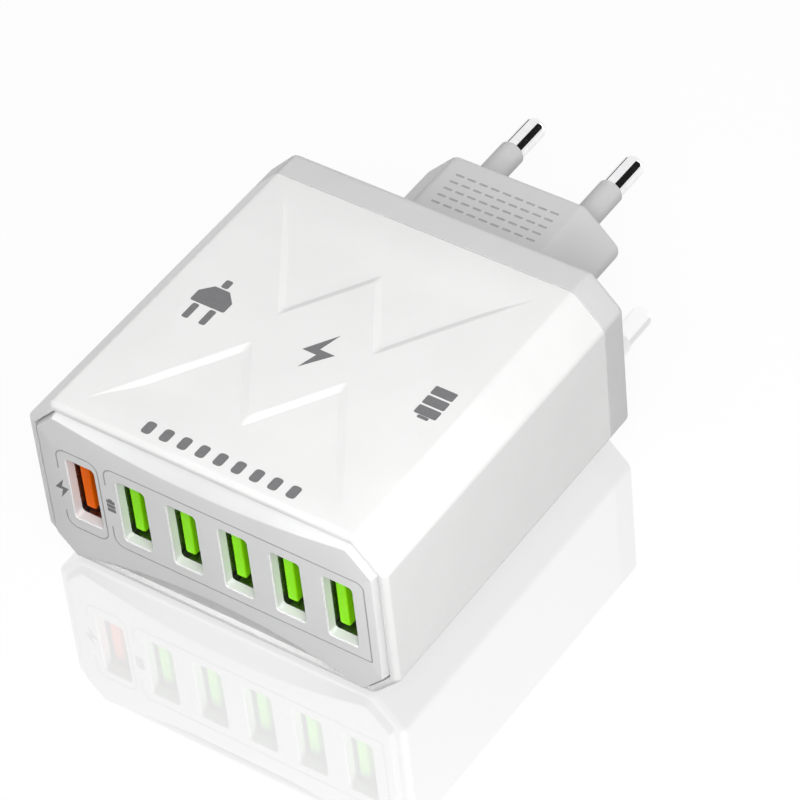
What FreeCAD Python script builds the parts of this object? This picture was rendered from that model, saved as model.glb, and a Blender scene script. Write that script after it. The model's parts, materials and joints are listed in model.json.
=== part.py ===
# Six-port USB wall charger with a two-pin mains plug, one solid per piece, in millimetres.
# X runs to the right along the row of ports, Y from the port face back to the plug, Z up.
# While modelling, Y is zero on the port face. Each piece is moved on export, so that the
# origin lies under the middle of the whole charger, at the level of its flat base.
import FreeCAD
import Part
import math
import os

Vector = FreeCAD.Vector

# Case: an octagonal sleeve closed by a port panel and a rear cover
body_width = 66.0
body_height = 34.2
body_chamfer_x = 5.2
body_chamfer_z = 5.5
edge_radius = 1.6
housing_length = 59.9
wall = 2.2
cover_length = 5.6
cover_back_round = 1.2
round_step_count = 3

# Front rim of the housing and the port panel that sits in it
rim_setback = 1.0
rim_chamfer = 0.7
rim_width = 1.5
panel_gap = 0.2
panel_base = 2.2
panel_wall = 1.75
panel_skirt = 1.4
panel_face_inset = 0.35
panel_bow = 3.0
ledge_width = 1.5
ledge_length = 1.5

# Lip joint between the housing and the rear cover
lip_length = 3.0
lip_clearance = 0.1
lip_wall = 1.0

# Zigzag relief on the top: four wedge-shaped hollows, two pointing back and two forwards
relief_depth = 0.4
relief_wall_run = 1.7
relief_flat = 15.0
relief_length = 23.0
relief_half_width = 15.2
relief_pitch = 17.6
relief_band = 6.5
relief_middle = 30.25

# Plug block, pins and sleeves
plug_length = 21.2
plug_width = 38.4
plug_height = 14.0
plug_flat = 24.8
plug_corner = 2.2
plug_back_round = 1.0
plug_wall = 2.2
plug_end_wall = 4.0
plug_height_on_body = 16.9
pin_spacing = 19.0
pin_diameter = 4.0
pin_length = 19.0
pin_tip_round = 1.6
pin_core_diameter = 3.0
pin_collar_diameter = 5.4
pin_collar_length = 1.2
sleeve_length = 11.0
sleeve_diameter = 4.5

# USB sockets, standing on their narrow side in a row
port_count = 6
port_side_margin = 4.5
port_row_offset = 0.7
port_height_on_body = 17.6
port_opening_width = 5.12
port_opening_height = 12.5
cutout_margin = 0.06
cutout_corner = 0.6
shell_gauge = 0.3
shell_corner = 0.35
shell_length = 14.0
shell_gap = 0.05
shell_tab_width = 1.2
shell_tab_setback = 7.0
tongue_thickness = 1.84
tongue_height = 11.1
tongue_wall_gap = 0.4
tongue_setback = 0.4
tongue_tip_bevel = 0.4
insulator_length = 4.0
insulator_clearance = 0.05
contact_offsets = (-3.5, -1.0, 1.0, 3.5)
contact_width = 1.0
contact_gauge = 0.25
contact_setback = 1.4
tail_first = 0.8
tail_pitch = 1.2
tail_width = 0.6

# Circuit board and the rails that hold it
board_thickness = 1.6
board_side_clearance = 0.3
board_end_clearance = 0.2
board_hole_clearance = 0.1
solder_length = 0.8
rail_depth = 1.5
rail_thickness = 1.2
rail_clearance = 0.1

# Leads from the pins to the board
lead_width = 2.4
lead_gauge = 0.6
lead_bend = 1.5
lead_landing = 4.2

# Power parts on the board
part_gap = 0.8
part_leg = 0.8
core_width = 21.6
core_length = 18.0
core_thickness = 7.0
core_limb = 6.0
core_back = 3.0
bobbin_wall = 0.8
bobbin_clearance = 0.15
bobbin_flange_rise = 7.5
bobbin_rail_height = 3.4
winding_gap = 0.3
winding_corner = 1.2
bulk_diameter = 12.5
bulk_headroom = 3.0
bulk_count = 2
output_diameter = 8.0
output_height = 12.0
output_count = 3
output_pitch = 10.0
sink_plate = 1.6
sink_height = 16.0
sink_length = 15.0
sink_fin_depth = 2.4
sink_fin_count = 4
sink_fin_thickness = 1.0
transistor_width = 10.0
transistor_height = 9.0
transistor_thickness = 4.4
transistor_tab = 1.3
transistor_tab_height = 6.4
transistor_leg_pitch = 2.54
transistor_leg_length = 3.2
x_capacitor_thickness = 5.0
x_capacitor_length = 13.0
x_capacitor_height = 11.0
y_capacitor_diameter = 8.0
y_capacitor_thickness = 3.6
y_capacitor_stand = 2.0
choke_outer = 12.0
choke_inner = 5.6
choke_width = 5.0
choke_wire = 0.9
choke_wound_angle = 130.0
fuse_size = (8.4, 4.2, 7.6)
optocoupler_size = (6.5, 4.6, 3.6)
small_chip_size = (5.0, 4.0, 1.6)
rectifier_size = (8.4, 6.4, 2.4)
output_rectifier_size = (10.0, 9.0, 2.4)
chip_leg_width = 0.4
chip_leg_reach = 1.0
chip_leg_pitch = 1.27
chip_leg_count = 4
rectifier_leg_count = 2
port_controller_count = 3
port_controller_pitch = 15.0

# Values that follow from the driving dimensions
half_width = body_width / 2
joint_y = housing_length
back_y = housing_length + cover_length
plug_end_y = back_y + plug_length
total_length = plug_end_y + pin_length
ledge_front_y = rim_setback + panel_base
ledge_back_y = ledge_front_y + ledge_length
port_pitch = (body_width - 2 * port_side_margin) / port_count
shell_front_y = panel_wall + shell_gap
shell_back_y = shell_front_y + shell_length
tongue_tip_y = shell_front_y + tongue_setback
insulator_front_y = shell_back_y - insulator_length
shell_width = port_opening_width + 2 * shell_gauge
shell_height = port_opening_height + 2 * shell_gauge
board_top = port_height_on_body - shell_height / 2
board_bottom = board_top - board_thickness
board_front_y = ledge_back_y + board_end_clearance
board_back_y = joint_y - lip_length - board_end_clearance
board_half_width = half_width - wall - board_side_clearance
bulk_height = body_height - wall - bulk_headroom - board_top
tails_end_y = shell_back_y + tail_first + (len(contact_offsets) - 1) * tail_pitch + tail_width
output_row_y = tails_end_y + part_gap + output_diameter / 2
transformer_y = output_row_y + output_diameter / 2 + part_gap + core_length / 2
transformer_back_y = transformer_y + core_length / 2
transformer_z = board_top + bobbin_rail_height + core_thickness / 2
bulk_x = -(core_width / 2 + part_gap + bulk_diameter / 2)
bulk_front_y = transformer_y - core_length / 2 + bulk_diameter / 2
sink_x = core_width / 2 + part_gap + sink_fin_depth
lead_landing_y = board_back_y - lead_landing
pin_back_y = plug_end_y - plug_end_wall - pin_collar_length

# Each piece by its name, filled in by the functions below
pieces = {}


def inset(corners, distance):
    """Moves every side of a convex outline inwards and returns the new corners."""
    count = len(corners)
    lines = []
    for index in range(count):
        x0, z0 = corners[index]
        x1, z1 = corners[(index + 1) % count]
        run = math.hypot(x1 - x0, z1 - z0)
        normal = ((z0 - z1) / run, (x1 - x0) / run)
        level = normal[0] * x0 + normal[1] * z0 + distance
        lines.append((normal, level))
    moved = []
    for index in range(count):
        (a, b), p = lines[index - 1]
        (c, d), q = lines[index]
        det = a * d - b * c
        moved.append(((p * d - b * q) / det, (a * q - p * c) / det))
    return moved


def octagon(half, low, high, chamfer_x, chamfer_z):
    """Corners of a chamfered rectangle, anticlockwise from the left end of the base."""
    return [
        (-half + chamfer_x, low),
        (half - chamfer_x, low),
        (half, low + chamfer_z),
        (half, high - chamfer_z),
        (half - chamfer_x, high),
        (-half + chamfer_x, high),
        (-half, high - chamfer_z),
        (-half, low + chamfer_z),
    ]


def rectangle(x, z, width, height):
    """Corners of a rectangle around a middle point, anticlockwise."""
    return [
        (x - width / 2, z - height / 2),
        (x + width / 2, z - height / 2),
        (x + width / 2, z + height / 2),
        (x - width / 2, z + height / 2),
    ]


def outline(corners, radius, y):
    """Closed wire through the corners at depth y, with each corner rounded."""
    points = [Vector(x, y, z) for x, z in corners]
    if radius <= 0:
        return Part.makePolygon(points + points[:1])
    edges = []
    ends = []
    for index, corner in enumerate(points):
        back = (points[index - 1] - corner).normalize()
        ahead = (points[(index + 1) % len(points)] - corner).normalize()
        half_angle = back.getAngle(ahead) / 2
        reach = radius / math.tan(half_angle)
        middle = (back + ahead).normalize()
        centre = corner + middle * (radius / math.sin(half_angle))
        ends.append((corner + back * reach, centre - middle * radius, corner + ahead * reach))
    for index, (start, crest, end) in enumerate(ends):
        edges.append(Part.Arc(start, crest, end).toShape())
        edges.append(Part.makeLine(end, ends[(index + 1) % len(ends)][0]))
    return Part.Wire(edges)


def clipped(corners, cut):
    """Corners of an outline with each corner cut off at the given distance along its sides."""
    points = []
    for index, (x, z) in enumerate(corners):
        for next_x, next_z in (corners[index - 1], corners[(index + 1) % len(corners)]):
            share = cut / math.hypot(next_x - x, next_z - z)
            points.append((x + share * (next_x - x), z + share * (next_z - z)))
    return points


def stepped(corners, radius):
    """Corners of an outline with each square corner rounded off by a few straight steps."""
    points = []
    for index, (x, z) in enumerate(corners):
        here = Vector(x, 0, z)
        before_x, before_z = corners[index - 1]
        after_x, after_z = corners[(index + 1) % len(corners)]
        back = (Vector(before_x, 0, before_z) - here).normalize()
        ahead = (Vector(after_x, 0, after_z) - here).normalize()
        for inward, along in round_profile(radius):
            point = here + back * (radius - along) + ahead * inward
            points.append((point.x, point.z))
    return points


def prism(corners, radius, y_from, y_to):
    """Straight solid along Y with the given section."""
    return Part.Face(outline(corners, radius, y_from)).extrude(Vector(0, y_to - y_from, 0))


def taper(corners_from, radius_from, y_from, corners_to, radius_to, y_to):
    """Ruled solid between two sections along Y."""
    sections = [outline(corners_from, radius_from, y_from), outline(corners_to, radius_to, y_to)]
    return Part.makeLoft(sections, True, True)


def round_profile(radius):
    """Steps of a rounded edge: how far each comes in, and how far along it lies."""
    angles = [math.pi / 2 * index / round_step_count for index in range(round_step_count + 1)]
    return [(radius * (1 - math.cos(angle)), radius * math.sin(angle)) for angle in angles]


def round_backed(corners, corner_radius, y_from, y_to, back_round):
    """Straight solid along Y whose back edge is rounded off."""
    sections = [outline(corners, corner_radius, y_from)]
    for inward, along in round_profile(back_round):
        section = inset(corners, inward)
        sections.append(outline(section, corner_radius - inward, y_to - back_round + along))
    return Part.makeLoft(sections, True, True)


def block(x, y, z, width, length, height):
    """Box centred on x and y that stands on z."""
    return Part.makeBox(width, length, height, Vector(x - width / 2, y - length / 2, z))


def turned(profile, x, z):
    """Solid of revolution about a line along Y, from (radius, y) points."""
    points = [Vector(x + radius, y, z) for radius, y in profile]
    face = Part.Face(Part.makePolygon(points + points[:1]))
    return face.revolve(Vector(x, 0, z), Vector(0, 1, 0), 360)


def body_outline():
    """Outer corners of the case."""
    return octagon(half_width, 0, body_height, body_chamfer_x, body_chamfer_z)


def relief_hollow(x, apex_y, direction):
    """Hollow whose sloping walls meet at its apex and whose floor runs out to nothing."""
    base_y = apex_y + direction * relief_length
    wall_fall = relief_half_width / math.hypot(relief_half_width, relief_length) * relief_depth / relief_wall_run
    floor_rise = relief_depth / (relief_length - relief_flat)
    reach = relief_length * floor_rise / (wall_fall + floor_rise)
    apex = Vector(x, apex_y, body_height)
    left = Vector(x - relief_half_width, base_y, body_height)
    right = Vector(x + relief_half_width, base_y, body_height)
    bottom = Vector(x, apex_y + direction * reach, body_height - wall_fall * reach)
    triangles = [(apex, left, right), (apex, left, bottom), (apex, right, bottom), (left, right, bottom)]
    faces = [Part.Face(Part.makePolygon([a, b, c, a])) for a, b, c in triangles]
    wedge = Part.Solid(Part.Shell(faces))
    middle_y = apex_y + direction * relief_length / 2
    floor_z = body_height - relief_depth
    return wedge.common(block(x, middle_y, floor_z, 2 * relief_half_width, relief_length, relief_depth))


def build_housing():
    """White sleeve with a stepped front rim, board rails and the relief on its top."""
    outer = body_outline()
    inner = inset(outer, wall)
    pocket = inset(outer, rim_width)
    window = inset(outer, rim_width + ledge_width)
    lip_recess = inset(outer, wall - lip_wall - lip_clearance)
    chamfer_y = rim_setback + rim_chamfer
    housing = prism(outer, edge_radius, chamfer_y, joint_y)
    nose = taper(inset(outer, rim_chamfer), edge_radius, rim_setback, outer, edge_radius, chamfer_y)
    housing = housing.fuse(nose)
    housing = housing.cut(prism(pocket, 0, rim_setback, ledge_front_y))
    housing = housing.cut(prism(window, 0, ledge_front_y, ledge_back_y))
    housing = housing.cut(prism(inner, 0, ledge_back_y, joint_y))
    recess_front_y = joint_y - lip_length - lip_clearance
    housing = housing.cut(prism(lip_recess, 0, recess_front_y, joint_y))
    housing = housing.fuse(board_rails(shell_back_y, recess_front_y))
    for side in (-1, 1):
        x = side * relief_pitch / 2
        housing = housing.cut(relief_hollow(x, relief_middle - relief_band / 2, -1))
        housing = housing.cut(relief_hollow(x, relief_middle + relief_band / 2, 1))
    pieces["housing_shell"] = housing.removeSplitter()


def board_rails(y_from, y_to):
    """Two ribs on each side wall behind the sockets, one under and one over the board's edge."""
    length = y_to - y_from
    levels = (board_bottom - rail_clearance - rail_thickness, board_top + rail_clearance)
    rails = []
    for side in (-1, 1):
        x = side * (half_width - wall - rail_depth / 2)
        for level in levels:
            y = y_from + length / 2
            rails.append(block(x, y, level, rail_depth, length, rail_thickness))
    return rails


def port_positions():
    """Middle of each port along X, from left to right."""
    first = port_row_offset - (port_count - 1) * port_pitch / 2
    return [first + index * port_pitch for index in range(port_count)]


def panel_face_wire(corners):
    """Outline of the panel's face, with its top and bottom sides bowed towards the ports."""
    points = [Vector(x, 0, z) for x, z in corners]
    bows = {0: panel_bow, 4: -panel_bow}
    edges = []
    for index, start in enumerate(points):
        end = points[(index + 1) % len(points)]
        if index in bows:
            crest = (start + end) * 0.5 + Vector(0, 0, bows[index])
            edges.append(Part.Arc(start, crest, end).toShape())
        else:
            edges.append(Part.makeLine(start, end))
    return Part.Wire(edges)


def build_panel():
    """Port panel: a shallow cap that stands proud of the rim, with bowed bevels and cut-outs."""
    base = inset(body_outline(), rim_width + panel_gap)
    face = inset(base, panel_face_inset)
    bevelled = Part.makeLoft([panel_face_wire(face), outline(base, 0, rim_setback)], True, True)
    panel = bevelled.fuse(prism(base, 0, rim_setback, ledge_front_y))
    panel = panel.cut(prism(inset(base, panel_skirt), 0, panel_wall, ledge_front_y))
    width = port_opening_width + 2 * cutout_margin
    height = port_opening_height + 2 * cutout_margin
    for x in port_positions():
        hole = rectangle(x, port_height_on_body, width, height)
        panel = panel.cut(prism(stepped(hole, cutout_corner), 0, 0, panel_wall))
    pieces["front_panel"] = panel.removeSplitter()


def plug_outline():
    """Corners of the six-sided plug block."""
    low = plug_height_on_body - plug_height / 2
    high = plug_height_on_body + plug_height / 2
    middle = plug_height_on_body
    flat = plug_flat / 2
    half = plug_width / 2
    return [(-flat, low), (flat, low), (half, middle), (flat, high), (-flat, high), (-half, middle)]


def build_rear_cover():
    """Grey cover with a lip that enters the housing and the plug block moulded on its back."""
    outer = body_outline()
    inner = inset(outer, wall)
    lip = inset(outer, wall - lip_wall)
    cap = round_backed(outer, edge_radius, joint_y, back_y, cover_back_round)
    plug = round_backed(plug_outline(), plug_corner, back_y - wall, plug_end_y, plug_back_round)
    cover = cap.fuse(plug).fuse(prism(lip, 0, joint_y - lip_length, joint_y))
    cover = cover.cut(prism(inner, 0, joint_y - lip_length, back_y - wall))
    hollow = inset(plug_outline(), plug_wall)
    cover = cover.cut(prism(hollow, plug_corner / 2, back_y - wall, plug_end_y - plug_end_wall))
    for x in (-pin_spacing / 2, pin_spacing / 2):
        bore = Part.makeCylinder(
            pin_core_diameter / 2,
            plug_end_wall,
            Vector(x, plug_end_y - plug_end_wall, plug_height_on_body),
            Vector(0, 1, 0),
        )
        cover = cover.cut(bore)
    pieces["rear_cover"] = cover.removeSplitter()


def build_pins():
    """Round mains pins with a collar inside the block, and the sleeves on their roots."""
    tip_y = plug_end_y + pin_length
    sleeve_end_y = plug_end_y + sleeve_length
    collar_y = plug_end_y - plug_end_wall
    radius = pin_diameter / 2
    core = pin_core_diameter / 2
    collar = pin_collar_diameter / 2
    for name, x in (("left", -pin_spacing / 2), ("right", pin_spacing / 2)):
        profile = [
            (0, pin_back_y),
            (collar, pin_back_y),
            (collar, collar_y),
            (core, collar_y),
            (core, sleeve_end_y),
            (radius, sleeve_end_y),
        ]
        for inward, along in round_profile(pin_tip_round):
            profile.append((radius - inward, tip_y - pin_tip_round + along))
        profile.append((0, tip_y))
        sleeve_radius = sleeve_diameter / 2
        ring = [
            (core, plug_end_y),
            (sleeve_radius, plug_end_y),
            (sleeve_radius, sleeve_end_y),
            (core, sleeve_end_y),
        ]
        pieces["pin_" + name] = turned(profile, x, plug_height_on_body)
        pieces["pin_sleeve_" + name] = turned(ring, x, plug_height_on_body)


def contact_strips(x):
    """Four contacts of a socket, each a strip on the tongue with a tail down through the board."""
    strips = []
    front = tongue_tip_y + contact_setback
    for index, offset in enumerate(contact_offsets):
        z = port_height_on_body + offset
        tail_y = shell_back_y + tail_first + index * tail_pitch
        length = tail_y + tail_width - front
        strip = Part.makeBox(contact_gauge, length, contact_width, Vector(x, front, z - contact_width / 2))
        drop = z + contact_width / 2 - board_bottom + solder_length
        tail = Part.makeBox(contact_gauge, tail_width, drop, Vector(x, tail_y, board_bottom - solder_length))
        strips.append(strip.fuse(tail).removeSplitter())
    return strips


def shell_tabs(x, clearance):
    """Two legs of a socket's shell, in the planes of its wide walls, down through the board."""
    tabs = []
    y = shell_front_y + shell_tab_setback
    low = board_bottom - solder_length
    for side in (-1, 1):
        middle = x + side * (shell_width - shell_gauge) / 2
        width = shell_gauge + 2 * clearance
        length = shell_tab_width + 2 * clearance
        tabs.append(block(middle, y, low, width, length, board_top + shell_corner - low))
    return tabs


def build_sockets():
    """Steel shell, coloured insulator and four contacts of each USB socket."""
    z = port_height_on_body
    for index, x in enumerate(port_positions()):
        number = str(index + 1)
        around = clipped(rectangle(x, z, shell_width, shell_height), shell_corner)
        opening = inset(around, shell_gauge)
        tube = prism(around, 0, shell_front_y, shell_back_y).fuse(shell_tabs(x, 0))
        shell = tube.cut(prism(opening, 0, shell_front_y, shell_back_y))
        tongue_left = x - port_opening_width / 2 + tongue_wall_gap
        tongue_x = tongue_left + tongue_thickness / 2
        section = rectangle(tongue_x, z, tongue_thickness, tongue_height)
        bevel_y = tongue_tip_y + tongue_tip_bevel
        tongue = prism(section, 0, bevel_y, insulator_front_y)
        tip = taper(inset(section, tongue_tip_bevel), 0, tongue_tip_y, section, 0, bevel_y)
        carrier = inset(opening, insulator_clearance)
        insulator = prism(carrier, 0, insulator_front_y, shell_back_y).fuse([tongue, tip])
        strips = contact_strips(tongue_left + tongue_thickness)
        insulator = insulator.cut(strips)
        pieces["usb_shell_" + number] = shell.removeSplitter()
        pieces["usb_insulator_" + number] = insulator.removeSplitter()
        pieces["usb_contacts_" + number] = Part.makeCompound(strips)


def build_board():
    """Circuit board with a slot for every socket leg and tail."""
    length = board_back_y - board_front_y
    board = block(0, board_front_y + length / 2, board_bottom, 2 * board_half_width, length, board_thickness)
    cuts = []
    for x in port_positions():
        cuts += shell_tabs(x, board_hole_clearance)
        strip_x = x - port_opening_width / 2 + tongue_wall_gap + tongue_thickness + contact_gauge / 2
        for index in range(len(contact_offsets)):
            y = shell_back_y + tail_first + index * tail_pitch + tail_width / 2
            width = contact_gauge + 2 * board_hole_clearance
            slot = tail_width + 2 * board_hole_clearance
            cuts.append(block(strip_x, y, board_bottom, width, slot, board_thickness))
    pieces["main_board"] = board.cut(cuts)


def build_leads():
    """Brass strips that run forwards from the pins, bend down and stand on the board."""
    outer_bend = lead_bend + lead_gauge
    top = plug_height_on_body + lead_gauge / 2
    middle_y = lead_landing_y + outer_bend
    middle_z = top - outer_bend
    for name, pin_x in (("left", -pin_spacing / 2), ("right", pin_spacing / 2)):
        corner = Vector(pin_x - lead_width / 2, middle_y, middle_z)
        run = pin_back_y - middle_y
        drop = middle_z - board_top
        flat = Part.makeBox(lead_width, run, lead_gauge, corner + Vector(0, 0, lead_bend))
        leg = Part.makeBox(lead_width, lead_gauge, drop, corner + Vector(0, -outer_bend, -drop))
        bend = [
            Part.makeCylinder(radius, lead_width, corner, Vector(1, 0, 0), 90)
            for radius in (outer_bend, lead_bend)
        ]
        elbow = bend[0].cut(bend[1])
        pieces["mains_lead_" + name] = flat.fuse([elbow, leg]).removeSplitter()


def build_transformer():
    """Ferrite core with two windows, the bobbin on its middle limb and the winding."""
    z = transformer_z - core_thickness / 2
    core = block(0, transformer_y, z, core_width, core_length, core_thickness)
    window_width = core_width - 2 * core_back
    window_length = (core_length - core_limb) / 2 - core_back
    for side in (-1, 1):
        y = transformer_y + side * (core_limb + window_length) / 2
        core = core.cut(block(0, y, z, window_width, window_length, core_thickness))
    hole_length = core_limb + 2 * bobbin_clearance
    hole_height = core_thickness + 2 * bobbin_clearance
    tube_length = hole_length + 2 * bobbin_wall
    tube_height = hole_height + 2 * bobbin_wall
    span = window_width - 2 * bobbin_clearance
    flange_length = core_limb + 2 * window_length - 2 * bobbin_clearance
    tube = block(0, transformer_y, transformer_z - tube_height / 2, span, tube_length, tube_height)
    bobbin = tube
    flange_height = transformer_z + bobbin_flange_rise - board_top
    for side in (-1, 1):
        x = side * (span - bobbin_wall) / 2
        bobbin = bobbin.fuse(block(x, transformer_y, board_top, bobbin_wall, flange_length, flange_height))
    foot_height = transformer_z - core_thickness / 2 - board_top
    foot_width = core_back + 2 * bobbin_wall
    for side in (-1, 1):
        x = side * (span - bobbin_wall) / 2 + side * (foot_width - bobbin_wall) / 2
        bobbin = bobbin.fuse(block(x, transformer_y, board_top, foot_width, flange_length, foot_height))
    hole = block(0, transformer_y, transformer_z - hole_height / 2, core_width, hole_length, hole_height)
    bobbin = bobbin.cut(hole)
    wound_span = span - 2 * bobbin_wall
    build = window_length - bobbin_wall - 2 * bobbin_clearance - winding_gap
    wound_length = tube_length + 2 * build
    wound_height = tube_height + 2 * build
    low = transformer_z - wound_height / 2
    winding = block(0, transformer_y, low, wound_span, wound_length, wound_height)
    long_edges = [edge for edge in winding.Edges if edge.BoundBox.XLength > wound_span / 2]
    winding = winding.makeFillet(min(winding_corner, build), long_edges)
    winding = winding.cut(tube)
    pieces["transformer_core"] = core
    pieces["transformer_bobbin"] = bobbin.removeSplitter()
    pieces["transformer_winding"] = winding


def can(x, y, diameter, height):
    """Aluminium can of an electrolytic capacitor, standing on the board."""
    radius = diameter / 2
    return Part.makeCylinder(radius, height, Vector(x, y, board_top))


def build_capacitors():
    """Mains and output electrolytic cans, the film block and the safety disc."""
    for index in range(bulk_count):
        y = bulk_front_y + index * (bulk_diameter + part_gap)
        pieces["bulk_capacitor_" + str(index + 1)] = can(bulk_x, y, bulk_diameter, bulk_height)
    for index in range(output_count):
        x = (index - (output_count - 1) / 2) * output_pitch
        pieces["output_capacitor_" + str(index + 1)] = can(x, output_row_y, output_diameter, output_height)
    film_x = sink_x + sink_plate + transistor_thickness + part_gap + x_capacitor_thickness / 2
    film_y = transformer_y - core_length / 2 + x_capacitor_length / 2
    pieces["x_capacitor"] = block(
        film_x, film_y, board_top, x_capacitor_thickness, x_capacitor_length, x_capacitor_height
    )
    disc_x = output_pitch * (output_count - 1) / 2 + output_diameter / 2 + part_gap + y_capacitor_diameter / 2
    disc_z = board_top + y_capacitor_stand + y_capacitor_diameter / 2
    start = Vector(disc_x, output_row_y - y_capacitor_thickness / 2, disc_z)
    disc = Part.makeCylinder(y_capacitor_diameter / 2, y_capacitor_thickness, start, Vector(0, 1, 0))
    for side in (-1, 1):
        x = disc_x + side * y_capacitor_diameter / 4
        disc = disc.fuse(block(x, output_row_y, board_top, part_leg, part_leg, disc_z - board_top))
    pieces["y_capacitor"] = disc.removeSplitter()


def build_heat_sink():
    """Finned aluminium plate with the power transistor on its back."""
    y = transformer_y - core_length / 2 + sink_length / 2
    sink = block(sink_x + sink_plate / 2, y, board_top, sink_plate, sink_length, sink_height)
    pitch = (sink_length - sink_fin_thickness) / (sink_fin_count - 1)
    for index in range(sink_fin_count):
        fin_y = y - sink_length / 2 + sink_fin_thickness / 2 + index * pitch
        fin_x = sink_x - sink_fin_depth / 2
        sink = sink.fuse(block(fin_x, fin_y, board_top, sink_fin_depth, sink_fin_thickness, sink_height))
    face_x = sink_x + sink_plate
    low = board_top + transistor_leg_length
    body_x = face_x + transistor_thickness / 2
    transistor = block(body_x, y, low, transistor_thickness, transistor_width, transistor_height)
    tab_x = face_x + transistor_tab / 2
    tab_low = low + transistor_height
    tab_height = min(transistor_tab_height, board_top + sink_height - tab_low)
    transistor = transistor.fuse(block(tab_x, y, tab_low, transistor_tab, transistor_width, tab_height))
    for step in (-1, 0, 1):
        leg_y = y + step * transistor_leg_pitch
        leg = block(body_x, leg_y, board_top, part_leg, part_leg, transistor_leg_length)
        transistor = transistor.fuse(leg)
    pieces["heat_sink"] = sink.removeSplitter()
    pieces["power_transistor"] = transistor.removeSplitter()


def choke_ring(inner, outer, width, angle, x, y, z, turn):
    """Part of a flat ring about a line along Y, starting at the given turn."""
    profile = [
        Vector(x + inner, y - width / 2, z),
        Vector(x + outer, y - width / 2, z),
        Vector(x + outer, y + width / 2, z),
        Vector(x + inner, y + width / 2, z),
    ]
    ring = Part.Face(Part.makePolygon(profile + profile[:1]))
    ring = ring.revolve(Vector(x, 0, z), Vector(0, 1, 0), angle)
    ring.rotate(Vector(x, 0, z), Vector(0, 1, 0), turn)
    return ring


def build_choke():
    """Upright ring choke with its two windings, standing on the board."""
    inner = choke_inner / 2
    outer = choke_outer / 2
    x = (pin_spacing + lead_width) / 2 + part_gap + outer + choke_wire
    y = max(transformer_back_y, transformer_y - core_length / 2 + x_capacitor_length)
    y = y + part_gap + choke_width / 2 + choke_wire
    z = board_top + choke_wire + outer
    core = choke_ring(inner, outer, choke_width, 360, x, y, z, 0)
    wound_width = choke_width + 2 * choke_wire
    windings = []
    for middle in (90, 270):
        turn = middle - choke_wound_angle / 2
        wound = choke_ring(
            inner - choke_wire, outer + choke_wire, wound_width, choke_wound_angle, x, y, z, turn
        )
        windings.append(wound.cut(core))
    pieces["choke_core"] = core
    pieces["choke_windings"] = Part.makeCompound(windings)


def chip(x, y, size, leg_count):
    """Flat package on the underside of the board, with bent legs along two sides."""
    width, length, height = size
    body = block(x, y, board_bottom - height, width, length, height)
    first = -(leg_count - 1) * chip_leg_pitch / 2
    for side in (-1, 1):
        for index in range(leg_count):
            leg_x = x + first + index * chip_leg_pitch
            leg_y = y + side * (length + chip_leg_reach) / 2
            leg = block(leg_x, leg_y, board_bottom - height / 2, chip_leg_width, chip_leg_reach, height / 2)
            body = body.fuse(leg)
    return body.removeSplitter()


def build_small_parts():
    """Fuse and optocoupler on the board, and the flat packages under it."""
    width, length, height = fuse_size
    fuse_y = transformer_back_y + part_gap + length / 2
    pieces["fuse"] = block(0, min(fuse_y, board_back_y - length / 2), board_top, width, length, height)
    width, length, height = optocoupler_size
    row_left = -output_pitch * (output_count - 1) / 2 - output_diameter / 2
    opto_x = row_left - part_gap - width / 2
    pieces["optocoupler"] = block(opto_x, output_row_y, board_top, width, length, height)
    pieces["primary_controller"] = chip(bulk_x, transformer_y, small_chip_size, chip_leg_count)
    pieces["output_rectifier"] = chip(0, transformer_y, output_rectifier_size, rectifier_leg_count)
    pieces["bridge_rectifier"] = chip(-bulk_x, transformer_y, rectifier_size, rectifier_leg_count)
    chips = []
    for index in range(port_controller_count):
        x = (index - (port_controller_count - 1) / 2) * port_controller_pitch
        chips.append(chip(x, output_row_y, small_chip_size, chip_leg_count))
    pieces["port_controllers"] = Part.makeCompound(chips)


def main():
    """Builds every piece, moves it to the common origin and writes it to its own file."""
    build_housing()
    build_panel()
    build_rear_cover()
    build_pins()
    build_sockets()
    build_board()
    build_leads()
    build_transformer()
    build_capacitors()
    build_heat_sink()
    build_choke()
    build_small_parts()
    os.makedirs("parts", exist_ok=True)
    to_origin = Vector(0, -total_length / 2, 0)
    for name, shape in pieces.items():
        shape.translate(to_origin)
        shape.exportStep(os.path.join("parts", name + ".step"))


main()
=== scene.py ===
"""Looks of a six-port USB wall charger: moulded shells, sockets, pins, prints and a plain studio.

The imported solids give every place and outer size. Sizes are in millimetres unless a docstring says
otherwise, in the solids' own frame: X along the row of ports, Y from the port face back to the
plug, Z up.
"""
from __future__ import annotations

import json
import logging
import math
from abc import ABC, abstractmethod
from dataclasses import dataclass, field
from enum import Enum, IntEnum
from typing import Iterable, Sequence

import bmesh
import bpy
from bmesh.types import BMesh, BMVert
from mathutils import Euler, Matrix, Vector

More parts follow.
